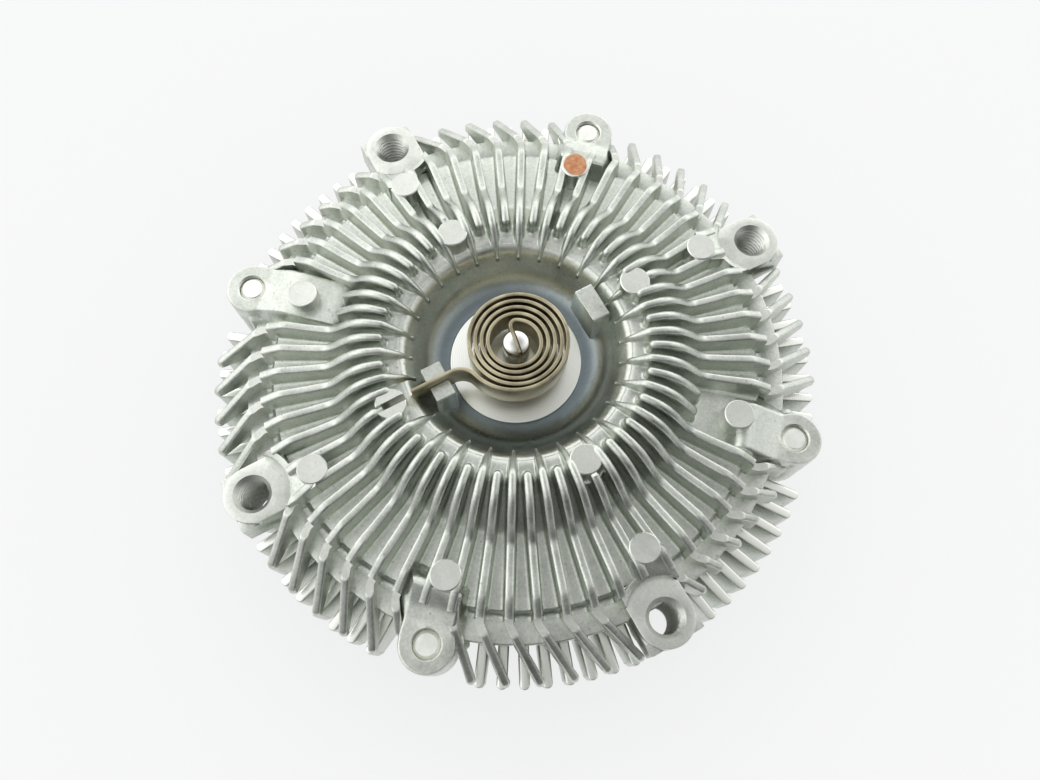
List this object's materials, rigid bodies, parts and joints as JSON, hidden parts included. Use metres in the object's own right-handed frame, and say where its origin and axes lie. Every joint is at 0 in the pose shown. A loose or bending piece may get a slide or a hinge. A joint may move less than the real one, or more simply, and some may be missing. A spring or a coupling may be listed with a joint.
{
  "type": "viscous fan clutch",
  "caption": "Finned aluminium viscous fan clutch: a housing with swept cooling fins and tapped fan bosses turns on a flanged shaft, its valve set by a bimetal coil.",
  "frame": {"origin": "centre of the mounting flange's rear face", "axes": "+Z along the axis of rotation, towards the fan seat and the coil; a fan boss stands 30 degrees from +X"},
  "size_m": [0.1428, 0.1428, 0.0684],
  "materials": {
    "cast_aluminium": "as-cast satin with machined seats",
    "machined_aluminium": "turned",
    "forged_steel": "turned and lightly oiled",
    "bearing_steel": "ground",
    "cage_steel": "pressed",
    "spring_steel": "phosphated",
    "zinc_steel": "zinc plated",
    "sheet_steel": "stamped",
    "valve_steel": "polished",
    "bimetal": "rolled strip, bronze tint",
    "black_rubber": "moulded"
  },
  "bodies": {
    "drive": {"drive_shaft": "forged_steel", "bearing_inner_race": "bearing_steel", "rotor": "machined_aluminium"},
    "cage": {"bearing_cage": "cage_steel", "bearing_balls": "bearing_steel"},
    "housing": {"front_cover": "cast_aluminium", "rear_case": "cast_aluminium", "bearing_outer_race": "bearing_steel", "bearing_seal_front": "black_rubber", "bearing_seal_rear": "black_rubber", "bearing_snap_ring": "spring_steel", "cover_o_ring": "black_rubber", "partition_plate": "sheet_steel", "cover_screws": "zinc_steel", "screw_lock_washers": "spring_steel", "bimetal_coil": "bimetal"},
    "valve": {"valve_shaft": "valve_steel", "valve_arm": "sheet_steel", "valve_shaft_o_ring": "black_rubber", "valve_shaft_clip": "zinc_steel"}
  },
  "joints": [
    {"name": "housing_spin", "type": "hinge", "parent": "drive", "child": "housing", "pos_m": [0, 0, 0.056], "axis": [0, 0, 1], "continuous": true},
    {"name": "cage_spin", "type": "hinge", "parent": "drive", "child": "cage", "pos_m": [0, 0, 0.0257], "axis": [0, 0, 1], "continuous": true},
    {"name": "valve_turn", "type": "hinge", "parent": "housing", "child": "valve", "pos_m": [0, 0, 0.056], "axis": [0, 0, 1], "range_deg": [0, 50], "stiffness_Nm_per_rad": 0.2, "deforming": ["bimetal_coil"]}
  ],
  "couplings": [
    {"joint": "cage_spin", "follows": "housing_spin", "ratio": 0.61851}
  ]
}
